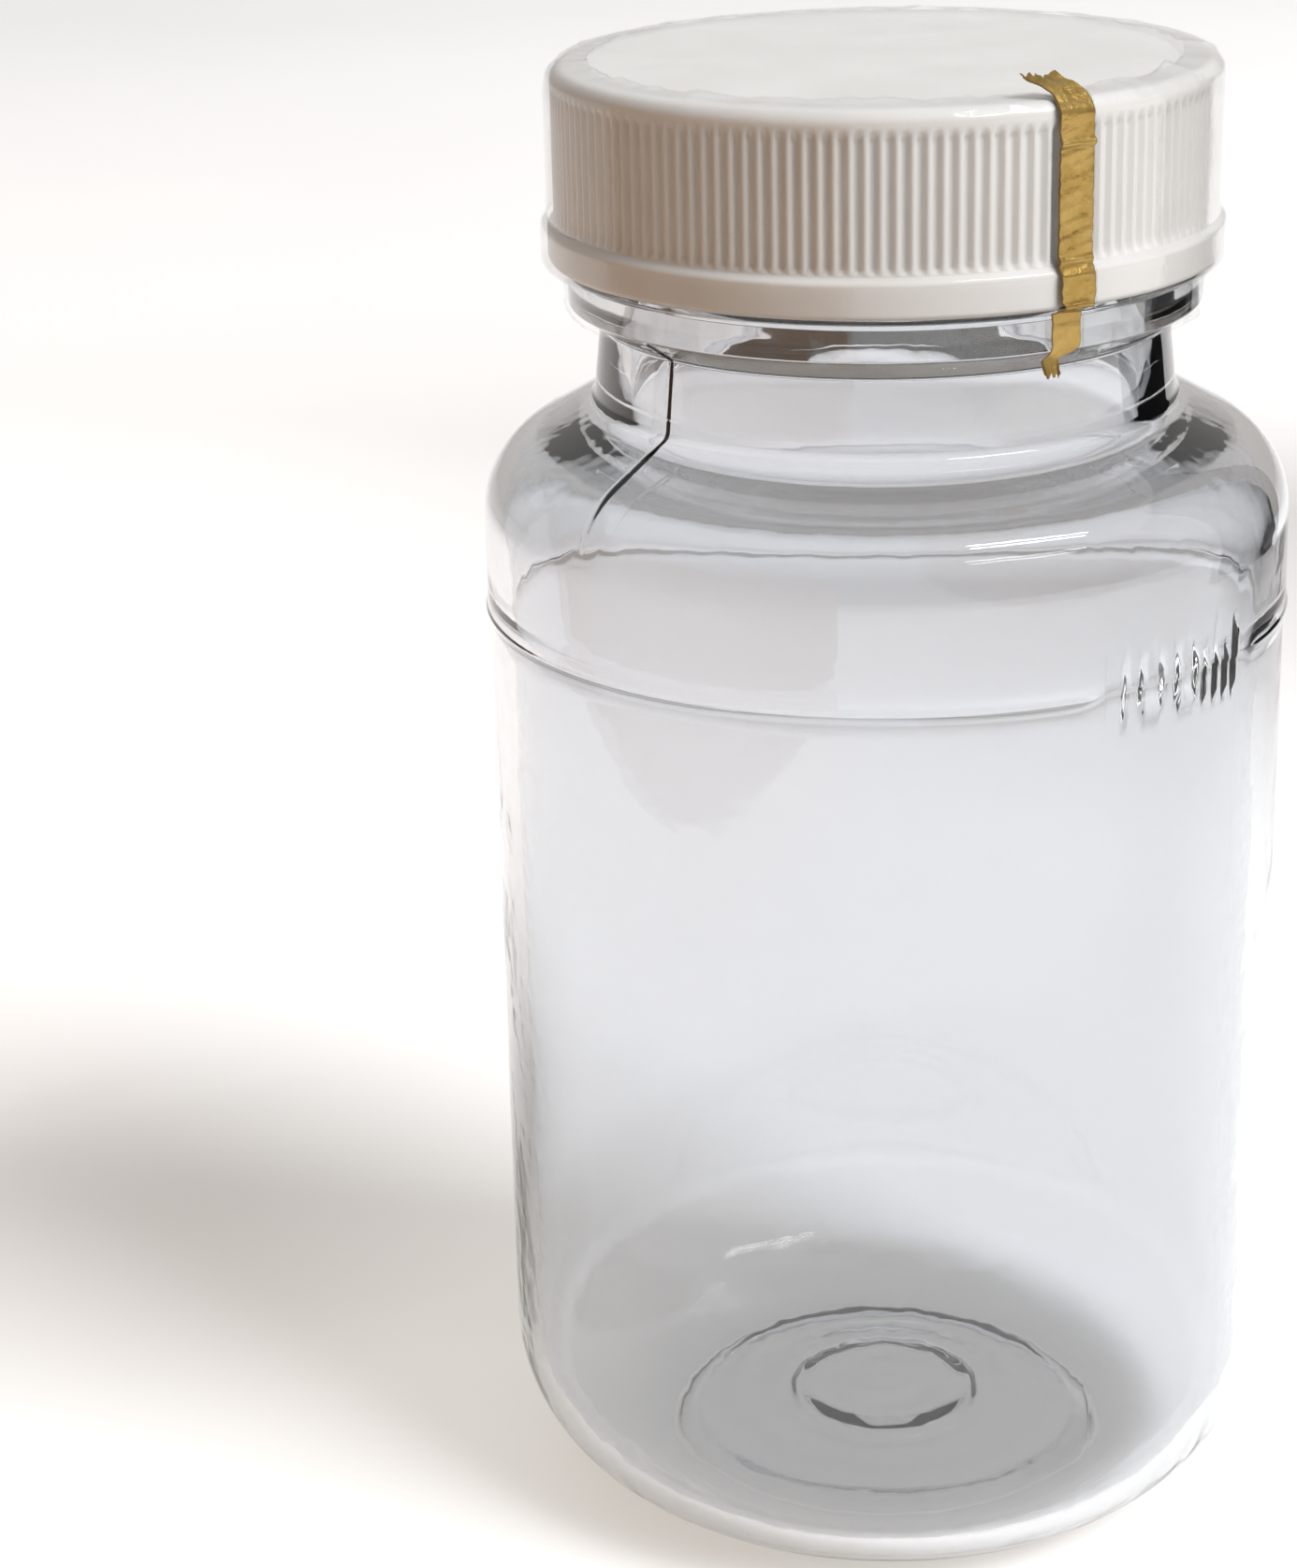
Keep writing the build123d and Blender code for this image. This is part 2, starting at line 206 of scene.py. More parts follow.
def sheet_piece(name, inner, outer, material):
    """A thin closed skin between two grids of points."""
    rows, columns = inner.shape[:2]
    count = rows * columns
    faces = grid_faces(rows, columns, False)
    border = list(range(columns))
    border += [i * columns + columns - 1 for i in range(1, rows)]
    border += [(rows - 1) * columns + j for j in range(columns - 2, -1, -1)]
    border += [i * columns for i in range(rows - 2, 0, -1)]
    rim = [(a, b, b + count, a + count) for a, b in zip(border, border[1:] + border[:1])]
    all_faces = [tuple(f) for f in faces] + [tuple(f[::-1]) for f in faces + count] + rim
    points = np.vstack([inner.reshape(-1, 3), outer.reshape(-1, 3)])
    return mesh_piece(name, points, all_faces, material)


def path_run(path):
    """Length along the path up to each of its points."""
    return np.concatenate([[0], np.cumsum(np.linalg.norm(np.diff(path, axis=0), axis=1))])


def angle_from(theta, middle):
    """The way round from middle to theta, between minus half a turn and half a turn."""
    return (theta - middle + math.pi) % (2 * math.pi) - math.pi


def angle_columns(count, windows):
    """Evenly spaced angles round the axis, closer together inside each window (middle, half width, step)."""
    even = np.linspace(-math.pi, math.pi, count, endpoint=False)
    keep = np.ones(count, bool)
    extra = []
    for middle, half, step in windows:
        away = np.abs(angle_from(even, middle))
        keep &= away > half + math.pi / count
        extra.append(np.arange(middle - half, middle + half + step / 2, step))
    angles = np.concatenate([even[keep], *extra])
    return np.sort((angles + math.pi) % (2 * math.pi) - math.pi)


def smooth_step(low, high, value):
    """0 at low, 1 at high, and eased in between."""
    share = np.clip((value - low) / (high - low), 0, 1)
    return share * share * (3 - 2 * share)


def waves(seed, count, turns, heights, theta, z, height):
    """Slow, seeded unevenness that closes on itself round the axis, between -1 and 1."""
    draw = np.random.default_rng(seed)
    total = 0
    for _ in range(count):
        around = draw.integers(turns[0], turns[1] + 1)
        upward = draw.uniform(heights[0], heights[1]) * 2 * math.pi / height
        phase = draw.uniform(0, 2 * math.pi)
        sign = draw.choice([-1, 1])
        total = total + np.cos(around * theta + sign * upward * z + phase)
    return total / count


def thread_lift(theta, z, start_turn):
    """Height of the one-start thread ridge over its wall, which begins at start_turn."""
    total = 0
    for lap in range(3):
        turn = (theta / (2 * math.pi) - start_turn) % 1 + lap
        off = np.abs(z - thread_start_z - thread_pitch * turn)
        flank = smooth_step(thread_base_width / 2, thread_crest_width / 2, off)
        ends = smooth_step(0, thread_run_out, turn)
        ends *= smooth_step(thread_turns, thread_turns - thread_run_out, turn)
        total = np.maximum(total, thread_depth * flank * ends)
    return total


# ---------------------------------------------------------------- bottle
def box_distance(x, z, half_width, half_height, corner):
    """Distance to a rounded upright box, below zero inside."""
    dx = np.maximum(np.abs(x) - (half_width - corner), 0)
    dz = np.maximum(np.abs(z) - (half_height - corner), 0)
    inside = np.minimum(np.maximum(np.abs(x) - half_width, np.abs(z) - half_height), 0)
    return np.where((dx > 0) | (dz > 0), np.hypot(dx, dz) - corner, inside)


def mark_distance(x, z):
    """Distance to the middle of the nearest stroke of the fill mark, 100ml, in plain strokes."""
    half = 1.45 * MM
    narrow = 0.82 * MM
    strokes = [np.hypot(x + 4.75 * MM, np.maximum(np.abs(z) - half, 0))]
    for middle in (-2.75 * MM, 0.1 * MM):
        strokes.append(np.abs(box_distance(x - middle, z, narrow, half, narrow)))
    m_middle = 2.85 * MM
    m_top = 0.55 * MM
    leg_distance = np.maximum(np.abs(z + (half - m_top) / 2) - (half + m_top) / 2, 0)
    for leg in (-1.05 * MM, 0, 1.05 * MM):
        strokes.append(np.hypot(x - m_middle - leg, leg_distance))
    strokes.append(np.hypot(np.maximum(np.abs(x - m_middle) - 0.85 * MM, 0), z - m_top))
    strokes.append(np.hypot(x - 4.85 * MM, np.maximum(np.abs(z - 0.25 * MM) - half, 0)))
    return np.minimum.reduce(strokes)


def bottle_lift(r, z, theta, normals):
    """How far the moulded skin stands off its plain outline."""
    outside = normals[:, 0][:, None] > 0.2
    inside = normals[:, 0][:, None] < -0.2
    inner_floor = (normals[:, 1][:, None] > 0.5) & (z < base_corner)
    height = cap_top_z
    arc = (theta - mark_angle) * body_radius
    on_wall = outside & (np.abs(z - fill_z) < 3 * MM)
    ring_height = fill_ring_proud * smooth_step(0.4 * MM, 0.05 * MM, np.abs(z - fill_z))
    ring_height = ring_height * smooth_step(6.6 * MM, 7.2 * MM, np.abs(arc))
    mark_height = mark_proud * smooth_step(0.3 * MM, mark_stroke, mark_distance(arc, z - fill_z))
    lift = np.where(on_wall, np.maximum(ring_height, mark_height), 0)
    seam_zone = outside & (z > fill_z) & (z < flange_edge_z)
    seam_off = np.minimum(np.abs(theta), math.pi - np.abs(theta)) * r
    seam = seam_proud * smooth_step(0.32 * MM, 0.08 * MM, seam_off)
    seam = seam * smooth_step(shoulder_z - 1.5 * MM, shoulder_z + 1.5 * MM, z)
    lift = lift + np.where(seam_zone, seam, 0)
    finish = outside & (z > flange_top_z + 0.5 * MM)
    lift = lift + np.where(finish, thread_lift(theta, z, 0), 0)
    blown = smooth_step(1.5 * MM, 12 * MM, z) * smooth_step(flange_cone_z, fill_z, z)
    upright = waves(3, 7, (2, 9), (0, 0.5), theta, z, height)
    lift = lift + np.where(outside, 0.022 * MM * upright * blown, 0)
    thick = 0.07 * MM * waves(5, 9, (2, 10), (0, 0.8), theta, z, height)
    lift = lift + np.where(inside, thick * blown, 0)
    rings = 0.05 * MM * np.cos(2 * math.pi * (r + 0.35 * MM * np.cos(theta - 1.1)) / (3.1 * MM))
    swirl = 0.05 * MM * np.cos(2 * theta + r / (1.1 * MM)) * smooth_step(8 * MM, 3 * MM, r)
    middle = smooth_step(19 * MM, 15 * MM, r) * smooth_step(0.5 * MM, 2.5 * MM, r)
    return lift + np.where(inner_floor, (rings + swirl) * middle, 0)


def bottle_step(point):
    """Spacing of the outline's points: close at the fill ring, the thread and the base."""
    r, z = point
    if abs(z - fill_z) < 2.4 * MM and r > inner_radius + wall / 2:
        return 0.1 * MM
    if z > flange_top_z and r > bore_radius + 0.6 * MM:
        return 0.16 * MM
    if z < base_corner / 2 and r < body_radius - 5 * MM:
        return 0.35 * MM
    return 0.7 * MM


def make_bottle(material):
    """The blown wall as one closed skin: up the outside from the base, over the lip, and down the inside."""
    floor_corners = [
        (pole_radius, push_up, 0),
        (gate_radius, push_up, 1.4 * MM),
        (gate_radius + 0.8 * MM, push_up - 0.6 * MM, 1.3 * MM),
        (base_step_radius, 0.9 * MM, 1.2 * MM),
        (foot_ring_radius, 0, 0.8 * MM),
    ]
    outside = [
        *floor_corners,
        (body_radius, 0, base_corner),
        (body_radius, fill_z, 0),
        (upper_radius, fill_z + 0.3 * MM, 0),
        (upper_radius, shoulder_z, shoulder_corner),
        (neck_root_radius, neck_root_z, 0.8 * MM),
        (neck_top_radius, flange_cone_z, 0.3 * MM),
        (flange_radius, flange_edge_z, 0.25 * MM),
        (flange_radius, flange_top_z, 0.25 * MM),
        (finish_radius, flange_top_z, 0.25 * MM),
        (finish_radius, lip_z, 0.4 * MM),
    ]
    inside = [
        (bore_radius, lip_z, 0.35 * MM),
        (bore_radius, inner_neck_z, 2.4 * MM),
        (inner_radius, inner_shoulder_z, shoulder_corner - wall),
        (inner_radius, wall, base_corner - wall),
        *[(r, z + wall, radius) for r, z, radius in reversed(floor_corners)],
    ]
    path = rounded_path(outside + inside, bottle_step)
    windows = [
        (mark_angle, math.radians(14), math.radians(0.2)),
        (0, math.radians(1.1), math.radians(0.14)),
        (math.pi, math.radians(1.1), math.radians(0.14)),
    ]
    return turned_piece("bottle_wall", path, angle_columns(200, windows), bottle_lift, material)


# ---------------------------------------------------------------- cap
def cap_lift(r, z, theta, normals):
    """Ribs round the wall and the thread inside it."""
    outside = normals[:, 0][:, None] > 0.5
    inside = normals[:, 0][:, None] < -0.5
    rim = cap_top_z - cap_edge - rib_fade
    rib = 0.5 - 0.5 * np.cos(rib_count * theta)
    rib = smooth_step(0.1, 0.85, rib)
    fade = smooth_step(bead_slope_z, bead_slope_z + rib_fade, z) * smooth_step(rim, rim - rib_fade, z)
    lift = np.where(outside, -rib_depth * rib * fade, 0)
    thread = thread_lift(theta, z, 0.5)
    return lift + np.where(inside, thread, 0)


def cap_step(point):
    """Spacing of the outline's points: close on the wall, wide on the flat top."""
    r = point[0]
    if r < cap_bore_radius - 1 * MM:
        return 1.6 * MM
    return 0.22 * MM if r < rib_root_radius - 0.5 * MM else 0.35 * MM


def make_cap(material):
    """The cap as one closed skin: along the inside, round the rim, and up the outside."""
    inner_top_z = cap_top_z - cap_top_thickness
    corners = [
        (pole_radius, inner_top_z, 0),
        (cap_bore_radius, inner_top_z, 0.6 * MM),
        (cap_bore_radius, cap_bottom_z, 0.25 * MM),
        (bead_radius, cap_bottom_z, 0.4 * MM),
        (bead_radius, bead_top_z, 0.4 * MM),
        (rib_radius, bead_slope_z, 0.2 * MM),
        (rib_radius, cap_top_z, cap_edge),
        (pole_radius, cap_top_z, 0),
    ]
    path = rounded_path(corners, cap_step)
    angles = np.linspace(-math.pi, math.pi, rib_count * 6, endpoint=False)
    return turned_piece("cap_body", path, angles, cap_lift, material)


# ---------------------------------------------------------------- film
def film_corners(stand_off):
    """The film's run, from its shrunk lip on the cap's top down to its lower edge."""
    return [
        (rib_radius - 2.3 * MM, cap_top_z + stand_off + 0.05 * MM, 0),
        (rib_radius - 0.5 * MM, cap_top_z + stand_off, 0.4 * MM),
        (rib_radius + stand_off, cap_top_z - 0.6 * MM, 0.5 * MM),
        (rib_radius + stand_off, bead_slope_z, 0.2 * MM),
        (bead_radius + stand_off, bead_top_z, 0.4 * MM),
        (bead_radius + stand_off, cap_bottom_z - stand_off, 0.4 * MM),
        (flange_radius + stand_off, flange_top_z, 0.25 * MM),
        (flange_radius + stand_off, flange_edge_z - 0.3 * MM, 0),
    ]


def film_wrinkles(run, theta, seed):
    """Outward puckers: short pleats along the lip and the skirt, on long soft folds, and one loose place."""
    draw = np.random.default_rng(seed)
    total = 0.03 * MM * (1 + waves(seed, 8, (3, 21), (1, 5), theta, run, run.max()))
    for _ in range(150):
        middle = draw.uniform(-math.pi, math.pi)
        width = draw.uniform(0.35, 1.3) * MM / rib_radius
        slant = draw.uniform(-0.04, 0.04)
        at_lip = draw.random() < 0.6
        reach = draw.uniform(0.7, 2.4) * MM
        size = draw.uniform(0.03, 0.16) * MM
        depth = run if at_lip else run.max() - run
        off = angle_from(theta, middle + slant * depth / reach)
        total = total + size * np.exp(-((off / width) ** 2)) * np.exp(-((depth / reach) ** 2))
    away = angle_from(theta, math.radians(138))
    loose = 0.3 * MM * np.exp(-((away / math.radians(24)) ** 2))
    end = run.max()
    return total + loose * smooth_step(1.5 * MM, 4 * MM, run) * smooth_step(end, end - 4 * MM, run)


def make_film(name, start, end, material):
    """Half of the sleeve, a thin closed skin between two angles."""
    path = rounded_path(film_corners(film_gap), lambda point: 0.22 * MM)
    normals = -path_normals(path)
    run = path_run(path)
    angles = np.linspace(start, end, 300)
    lift = film_wrinkles(run[:, None], angles[None, :], 11)
    ragged = 0.12 * MM * waves(17, 6, (9, 60), (0, 1), angles, 0, 1)
    skins = []
    for extra in (0, film_thickness):
        radius = path[:, 0][:, None] + normals[:, 0][:, None] * (lift + extra)
        level = path[:, 1][:, None] + normals[:, 1][:, None] * (lift + extra)
        radius[0] += ragged
        level[-1] += ragged
        skins.append(np.stack([radius * np.cos(angles), radius * np.sin(angles), level], axis=2))
    return sheet_piece(name, *skins, material)


# ---------------------------------------------------------------- tear tape
def make_tape(material):
    """Creased gold tape over the film, with a torn flag at the top and a torn, curled foot."""
    stand_off = film_gap + film_thickness + 0.12 * MM
    corners = [
        (rib_radius - 2.1 * MM, cap_top_z + 1.15 * MM, 0),
        (rib_radius - 1.0 * MM, cap_top_z + 0.75 * MM, 0.6 * MM),
        (rib_radius + stand_off, cap_top_z - 0.55 * MM, 0.6 * MM),
        (rib_radius + stand_off, cap_top_z - 2.1 * MM, 0.1 * MM),
        (rib_radius + stand_off + 0.22 * MM, cap_top_z - 2.35 * MM, 0.1 * MM),
        (rib_radius + stand_off, cap_top_z - 2.65 * MM, 0.1 * MM),
        (rib_radius + stand_off, bead_slope_z + 0.5 * MM, 0.1 * MM),
        (rib_radius + stand_off + 0.15 * MM, bead_slope_z + 0.3 * MM, 0.1 * MM),
        (rib_radius + stand_off + 0.05 * MM, bead_slope_z, 0.15 * MM),
        (bead_radius + stand_off, bead_top_z - 0.1 * MM, 0.2 * MM),
        (bead_radius + stand_off, cap_bottom_z + 0.5 * MM, 0.1 * MM),
        (bead_radius + stand_off + 0.25 * MM, cap_bottom_z + 0.25 * MM, 0.1 * MM),
        (flange_radius + stand_off, flange_top_z + 0.2 * MM, 0.15 * MM),
        (flange_radius + stand_off, flange_edge_z - 0.2 * MM, 0.3 * MM),
        (flange_radius + stand_off + 0.35 * MM, flange_edge_z - 1.15 * MM, 0),
    ]
    path = rounded_path(corners, lambda point: 0.12 * MM)
    normals = -path_normals(path)
    run = path_run(path)
    length = run[-1]
    across = np.linspace(-1, 1, 19)
    draw = np.random.default_rng(23)
    left_edge = 1 + 0.05 * waves(31, 5, (0, 0), (4, 30), 0, run, length)
    right_edge = 1 + 0.05 * waves(37, 5, (0, 0), (4, 30), 0, run, length)
    foot = smooth_step(length - 1.6 * MM, length - 0.8 * MM, run)
    below_bead = smooth_step(length - 5.4 * MM, length - 4.9 * MM, run)
    right_edge = right_edge - 0.16 * below_bead - 0.75 * foot
    left_edge = left_edge - 0.14 * below_bead
    sideways = -1.15 * MM * smooth_step(2.0 * MM, 0.2 * MM, run) - 0.75 * MM * foot**2
    width = np.where(across[None, :] < 0, left_edge[:, None], right_edge[:, None]) * tape_half_width
    along = sideways[:, None] + across[None, :] * width
    tears = 0.22 * MM * draw.uniform(-1, 1, across.size)
    end_pull = smooth_step(1.2 * MM, 0, run)[:, None] + smooth_step(length - 1.2 * MM, length, run)[:, None]
    crumple = 0.05 * MM * waves(41, 9, (0, 3), (5, 30), across[None, :], run[:, None], length)
    curl = 0.12 * MM * across[None, :] ** 2 * end_pull
    outward = Vector((math.cos(strip_angle), math.sin(strip_angle), 0))
    tangent = Vector((-math.sin(strip_angle), math.cos(strip_angle), 0))
    skins = []
    for extra in (0, tape_thickness):
        height = crumple + curl + extra
        radius = path[:, 0][:, None] + normals[:, 0][:, None] * height
        level = path[:, 1][:, None] + normals[:, 1][:, None] * height + tears[None, :] * end_pull
        point = radius[:, :, None] * np.array(outward) + along[:, :, None] * np.array(tangent)
        point[:, :, 2] += level
        skins.append(point)
    return sheet_piece("tear_tape", *skins, material)


# ================================================================ materials
def new_material(name):
    material = bpy.data.materials.new(name)
    material.use_nodes = True
    nodes = material.node_tree.nodes
    nodes.clear()
    output = nodes.new("ShaderNodeOutputMaterial")
    return material, nodes, material.node_tree.links, output


def set_inputs(node, **values):
    """Sets sockets by name, with an underscore for each space."""
    for name, value in values.items():
        node.inputs[name.replace("_", " ")].default_value = value
    return node


def mottle_group():
    """Two sizes of soft noise: a mask and a height, both in object space."""
    group = bpy.data.node_groups.new("moulded_mottle", "ShaderNodeTree")
    group.interface.new_socket("Size", in_out="INPUT", socket_type="NodeSocketFloat")
    group.interface.new_socket("Grain", in_out="INPUT", socket_type="NodeSocketFloat")
    group.interface.new_socket("Mask", in_out="OUTPUT", socket_type="NodeSocketFloat")
    group.interface.new_socket("Height", in_out="OUTPUT", socket_type="NodeSocketFloat")
    nodes, links = group.nodes, group.links
    entry = nodes.new("NodeGroupInput")
    leave = nodes.new("NodeGroupOutput")
    place = nodes.new("ShaderNodeTexCoord")
    broad = set_inputs(nodes.new("ShaderNodeTexNoise"), Detail=4.0, Roughness=0.55)
    fine = set_inputs(nodes.new("ShaderNodeTexNoise"), Detail=3.0, Roughness=0.6)
    total = nodes.new("ShaderNodeMath")
    total.operation = "MULTIPLY_ADD"
    total.inputs[1].default_value = 0.35
    links.new(place.outputs["Object"], broad.inputs["Vector"])
    links.new(place.outputs["Object"], fine.inputs["Vector"])
    links.new(entry.outputs["Size"], broad.inputs["Scale"])
    links.new(entry.outputs["Grain"], fine.inputs["Scale"])
    links.new(broad.outputs["Fac"], leave.inputs["Mask"])
    links.new(fine.outputs["Fac"], total.inputs[0])
    links.new(broad.outputs["Fac"], total.inputs[2])
    links.new(total.outputs["Value"], leave.inputs["Height"])
    return group


def add_mottle(nodes, group, size, grain):
    node = nodes.new("ShaderNodeGroup")
    node.node_tree = group
    node.inputs["Size"].default_value = size
    node.inputs["Grain"].default_value = grain
    return node


def add_range(nodes, links, source, low, high):
    """Spreads a mask over a range of values."""
    node = nodes.new("ShaderNodeMapRange")
    set_inputs(node, From_Min=0.3, From_Max=0.7, To_Min=low, To_Max=high)
    links.new(source, node.inputs["Value"])
    return node.outputs["Result"]


def add_bump(nodes, links, source, strength, distance):
    node = set_inputs(nodes.new("ShaderNodeBump"), Strength=strength, Distance=distance)
    links.new(source, node.inputs["Height"])
    return node.outputs["Normal"]


def add_colours(nodes, links, source, first, second):
    node = nodes.new("ShaderNodeValToRGB")
    node.color_ramp.elements[0].position = 0.3
    node.color_ramp.elements[0].color = (*first, 1)
    node.color_ramp.elements[1].position = 0.7
    node.color_ramp.elements[1].color = (*second, 1)
    links.new(source, node.inputs["Fac"])
    return node.outputs["Color"]


def clear_plastic(group):
    material, nodes, links, output = new_material("clear_blown_plastic")
    glass = set_inputs(
        nodes.new("ShaderNodeBsdfPrincipled"),
        Base_Color=(0.77, 0.785, 0.81, 1),
        Transmission_Weight=1.0,
        IOR=1.55,
    )
    mottle = add_mottle(nodes, group, 70.0, 900.0)
    links.new(add_range(nodes, links, mottle.outputs["Mask"], 0.0, 0.035), glass.inputs["Roughness"])
    links.new(add_bump(nodes, links, mottle.outputs["Mask"], 0.12, 0.0006), glass.inputs["Normal"])
    let_through = set_inputs(nodes.new("ShaderNodeBsdfTransparent"), Color=(0.8, 0.795, 0.785, 1))
    rays = nodes.new("ShaderNodeLightPath")
    straight = nodes.new("ShaderNodeMath")
    straight.operation = "MAXIMUM"
    links.new(rays.outputs["Is Shadow Ray"], straight.inputs[0])
    links.new(rays.outputs["Is Diffuse Ray"], straight.inputs[1])
    mix = nodes.new("ShaderNodeMixShader")
    links.new(straight.outputs[0], mix.inputs[0])
    links.new(glass.outputs[0], mix.inputs[1])
    links.new(let_through.outputs[0], mix.inputs[2])
    links.new(mix.outputs[0], output.inputs["Surface"])
    return material


def cap_plastic(group):
    material, nodes, links, output = new_material("white_moulded_cap")
    shade = nodes.new("ShaderNodeBsdfPrincipled")
    set_inputs(shade, Subsurface_Weight=0.15, Subsurface_Scale=0.0015)
    shade.inputs["Subsurface Radius"].default_value = (1.0, 0.9, 0.8)
    mottle = add_mottle(nodes, group, 160.0, 2600.0)
    colours = add_colours(nodes, links, mottle.outputs["Mask"], (0.53, 0.525, 0.515), (0.56, 0.555, 0.545))
    links.new(colours, shade.inputs["Base Color"])
    links.new(add_range(nodes, links, mottle.outputs["Mask"], 0.3, 0.42), shade.inputs["Roughness"])
    links.new(add_bump(nodes, links, mottle.outputs["Height"], 0.2, 0.0001), shade.inputs["Normal"])
    links.new(shade.outputs[0], output.inputs["Surface"])
    return material


def liner_foam(group):
    material, nodes, links, output = new_material("foam_liner")
    shade = nodes.new("ShaderNodeBsdfPrincipled")
    mottle = add_mottle(nodes, group, 400.0, 3200.0)
    colours = add_colours(nodes, links, mottle.outputs["Mask"], (0.74, 0.73, 0.7), (0.82, 0.81, 0.79))
    links.new(colours, shade.inputs["Base Color"])
    links.new(add_range(nodes, links, mottle.outputs["Mask"], 0.6, 0.85), shade.inputs["Roughness"])
    links.new(add_bump(nodes, links, mottle.outputs["Height"], 0.6, 0.0002), shade.inputs["Normal"])
    links.new(shade.outputs[0], output.inputs["Surface"])
    return material


def shrink_film(group):
    material, nodes, links, output = new_material("shrunk_clear_film")
    shine = set_inputs(nodes.new("ShaderNodeBsdfPrincipled"), Base_Color=(0.95, 0.96, 0.97, 1), Metallic=1.0)
    mottle = add_mottle(nodes, group, 220.0, 1500.0)
    links.new(add_range(nodes, links, mottle.outputs["Mask"], 0.04, 0.14), shine.inputs["Roughness"])
    normal = add_bump(nodes, links, mottle.outputs["Height"], 0.25, 0.0003)
    links.new(normal, shine.inputs["Normal"])
    through = set_inputs(nodes.new("ShaderNodeBsdfTransparent"), Color=(0.985, 0.985, 0.985, 1))
    facing = set_inputs(nodes.new("ShaderNodeLayerWeight"), Blend=0.5)
    links.new(normal, facing.inputs["Normal"])
    steep = nodes.new("ShaderNodeMath")
    steep.operation = "POWER"
    steep.inputs[1].default_value = 4.5
    links.new(facing.outputs["Facing"], steep.inputs[0])
    share = nodes.new("ShaderNodeMath")
    share.operation = "MULTIPLY_ADD"
    share.inputs[1].default_value = 0.5
    share.inputs[2].default_value = 0.025
    links.new(steep.outputs[0], share.inputs[0])
    mix = nodes.new("ShaderNodeMixShader")
    links.new(share.outputs[0], mix.inputs[0])
    links.new(through.outputs[0], mix.inputs[1])
    links.new(shine.outputs[0], mix.inputs[2])
    links.new(mix.outputs[0], output.inputs["Surface"])
    return material


def gold_tape(group):
    material, nodes, links, output = new_material("gold_tear_tape")
    foil = set_inputs(nodes.new("ShaderNodeBsdfPrincipled"), Metallic=0.85)
    mottle = add_mottle(nodes, group, 700.0, 2600.0)
    colours = add_colours(nodes, links, mottle.outputs["Mask"], (0.26, 0.165, 0.04), (0.42, 0.28, 0.09))
    links.new(colours, foil.inputs["Base Color"])
    links.new(add_range(nodes, links, mottle.outputs["Mask"], 0.25, 0.42), foil.inputs["Roughness"])
    links.new(add_bump(nodes, links, mottle.outputs["Height"], 0.4, 0.0003), foil.inputs["Normal"])
    links.new(foil.outputs[0], output.inputs["Surface"])
    return material


def pale_floor(group):
    material, nodes, links, output = new_material("pale_floor")
    shade = nodes.new("ShaderNodeBsdfPrincipled")
    mottle = add_mottle(nodes, group, 9.0, 240.0)
    colours = add_colours(nodes, links, mottle.outputs["Mask"], (0.93, 0.93, 0.93), (0.95, 0.95, 0.95))
    links.new(colours, shade.inputs["Base Color"])
    links.new(add_range(nodes, links, mottle.outputs["Mask"], 0.55, 0.65), shade.inputs["Roughness"])
    links.new(add_bump(nodes, links, mottle.outputs["Height"], 0.05, 0.0005), shade.inputs["Normal"])
    # Painted shade: diffuse rays see a dimmer, warmer copy of the floor, so the floor bounces less and warmer
    # light onto the object than its white look gives.
    shaded_bounce_copy = set_inputs(nodes.new("ShaderNodeBsdfDiffuse"), Color=(0.5, 0.46, 0.42, 1))
    rays = nodes.new("ShaderNodeLightPath")
    mix = nodes.new("ShaderNodeMixShader")
    links.new(rays.outputs["Is Diffuse Ray"], mix.inputs[0])
    links.new(shade.outputs[0], mix.inputs[1])
    links.new(shaded_bounce_copy.outputs[0], mix.inputs[2])
    links.new(mix.outputs[0], output.inputs["Surface"])
    return material


# ================================================================ the object
mottle = mottle_group()
clear = clear_plastic(mottle)
white = cap_plastic(mottle)
film = shrink_film(mottle)
gold = gold_tape(mottle)

bottle = make_bottle(clear)
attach(bottle, "bottle")
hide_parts("bottle")

cap = make_cap(white)
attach(cap, "cap")
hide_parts("cap_shell")

liner = frame["nodes"]["cap_liner"]
liner.data.materials.clear()
liner.data.materials.append(liner_foam(mottle))

half_slot = 1.26 * MM / rib_radius  # between the film's edge and the middle of the tape
half_split = 0.03 * MM / bead_radius  # at the back crease
left_film = make_film("film_left", strip_angle - math.pi + half_split, strip_angle - half_slot, film)
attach(left_film, "band_left")
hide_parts("seal_band_left")

right_film = make_film("film_right", strip_angle + half_slot, strip_angle + math.pi - half_split, film)
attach(right_film, "band_right")
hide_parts("seal_band_right")

tape = make_tape(gold)
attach(tape, "strip")
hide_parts("tear_strip")


# ================================================================ floor, light and camera
def make_floor(material, radius):
    angles = np.linspace(0, 2 * math.pi, 96, endpoint=False)
    rings = [0.02, 0.1, 0.3, 0.7, 1.3, radius]
    points = [(r * math.cos(a), r * math.sin(a), 0) for r in rings for a in angles]
    faces = [tuple(f[::-1]) for f in grid_faces(len(rings), len(angles), True)]
    faces.append(tuple(range(len(angles))))
    floor = mesh_piece("floor", points, faces, material)


camera_azimuth = math.radians(-44.6)
camera_front = Vector((math.sin(camera_azimuth), -math.cos(camera_azimuth), 0))
camera_right = Vector((math.cos(camera_azimuth), math.sin(camera_azimuth), 0))
camera_distance = 213.4 * MM
camera_height = 126.1 * MM
camera_pitch = math.radians(20.32)
camera_yaw = math.radians(3.84)


def make_camera():
    data = bpy.data.cameras.new("camera")
    data.sensor_width = 36
    data.lens = 80.5
    data.clip_start = 0.01
    data.clip_end = 20
    camera = bpy.data.objects.new("camera", data)
    bpy.context.scene.collection.objects.link(camera)
    place = camera_front * camera_distance + Vector((0, 0, camera_height))
    aim = Matrix.Rotation(camera_azimuth, 4, "Z") @ Matrix.Rotation(math.pi / 2 - camera_pitch, 4, "X")
    camera.matrix_world = Matrix.Translation(place) @ aim @ Matrix.Rotation(camera_yaw, 4, "Y")
    bpy.context.scene.camera = camera


